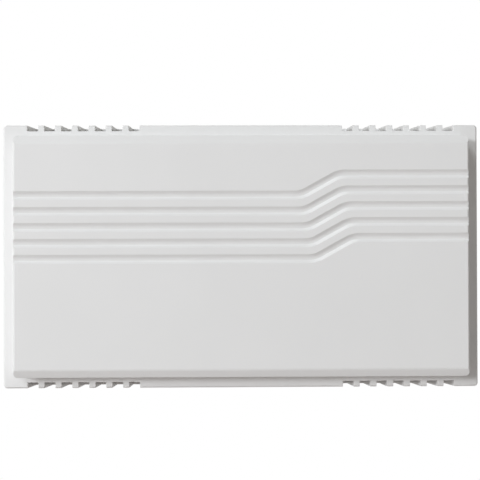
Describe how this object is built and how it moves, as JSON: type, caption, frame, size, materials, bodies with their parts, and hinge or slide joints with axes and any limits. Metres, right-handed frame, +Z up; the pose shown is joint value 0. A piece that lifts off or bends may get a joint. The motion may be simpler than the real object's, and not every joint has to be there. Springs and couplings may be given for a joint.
{
  "type": "doorbell chime",
  "caption": "Wall-mounted wired doorbell chime: a vented white cover pushed on over a base with steel tone bars and spring-returned solenoid strikers.",
  "frame": {"origin": "centre of the base's back face, on the wall", "axes": "+X to the viewer's right, +Y into the wall, +Z up; the front panel faces -Y"},
  "size_m": [0.197, 0.0475, 0.1104],
  "materials": {
    "cover_plastic": "fine satin moulding",
    "base_plastic": "satin moulding",
    "bar_steel": "zinc plated",
    "grommet_rubber": "matte",
    "screw_steel": "zinc plated",
    "bobbin_plastic": "natural nylon",
    "copper": "enamelled copper wire",
    "yoke_steel": "zinc plated sheet",
    "core_steel": "turned and plated",
    "nylon": "moulded nylon",
    "spring_steel": "drawn wire",
    "felt": "pressed felt",
    "terminal_brass": "plain brass",
    "red_lead": "wire insulation",
    "blue_lead": "wire insulation",
    "white_lead": "wire insulation"
  },
  "bodies": {
    "base": {"base": "base_plastic", "low_tone_bar": "bar_steel", "high_tone_bar": "bar_steel", "bar_grommets": "grommet_rubber", "bar_screws": "screw_steel", "front_bobbin": "bobbin_plastic", "front_winding": "copper", "front_yoke": "yoke_steel", "rear_bobbin": "bobbin_plastic", "rear_winding": "copper", "rear_yoke": "yoke_steel", "yoke_rivets": "screw_steel", "front_spring": "spring_steel", "rear_spring": "spring_steel", "plunger_stop_pad": "felt", "terminal_plates": "terminal_brass", "terminal_screws": "terminal_brass", "front_lead": "red_lead", "rear_lead": "blue_lead", "common_leads": "white_lead"},
    "cover": {"cover": "cover_plastic"},
    "front_plunger": {"front_plunger_core": "core_steel", "front_short_striker": "nylon", "front_long_striker": "nylon"},
    "rear_plunger": {"rear_plunger_core": "core_steel", "rear_short_striker": "nylon", "rear_long_striker": "nylon"}
  },
  "joints": [
    {"name": "cover_pull", "type": "slide", "parent": "base", "child": "cover", "axis": [0, -1, 0], "range_m": [0, 0.06]},
    {"name": "front_plunger_slide", "type": "slide", "parent": "base", "child": "front_plunger", "axis": [1, 0, 0], "range_m": [-0.0028, 0.0078], "stiffness_N_per_m": 60, "deforming": ["front_spring"]},
    {"name": "rear_plunger_slide", "type": "slide", "parent": "base", "child": "rear_plunger", "axis": [1, 0, 0], "range_m": [0, 0.0054], "stiffness_N_per_m": 60, "springref_m": -0.003, "deforming": ["rear_spring"]}
  ]
}
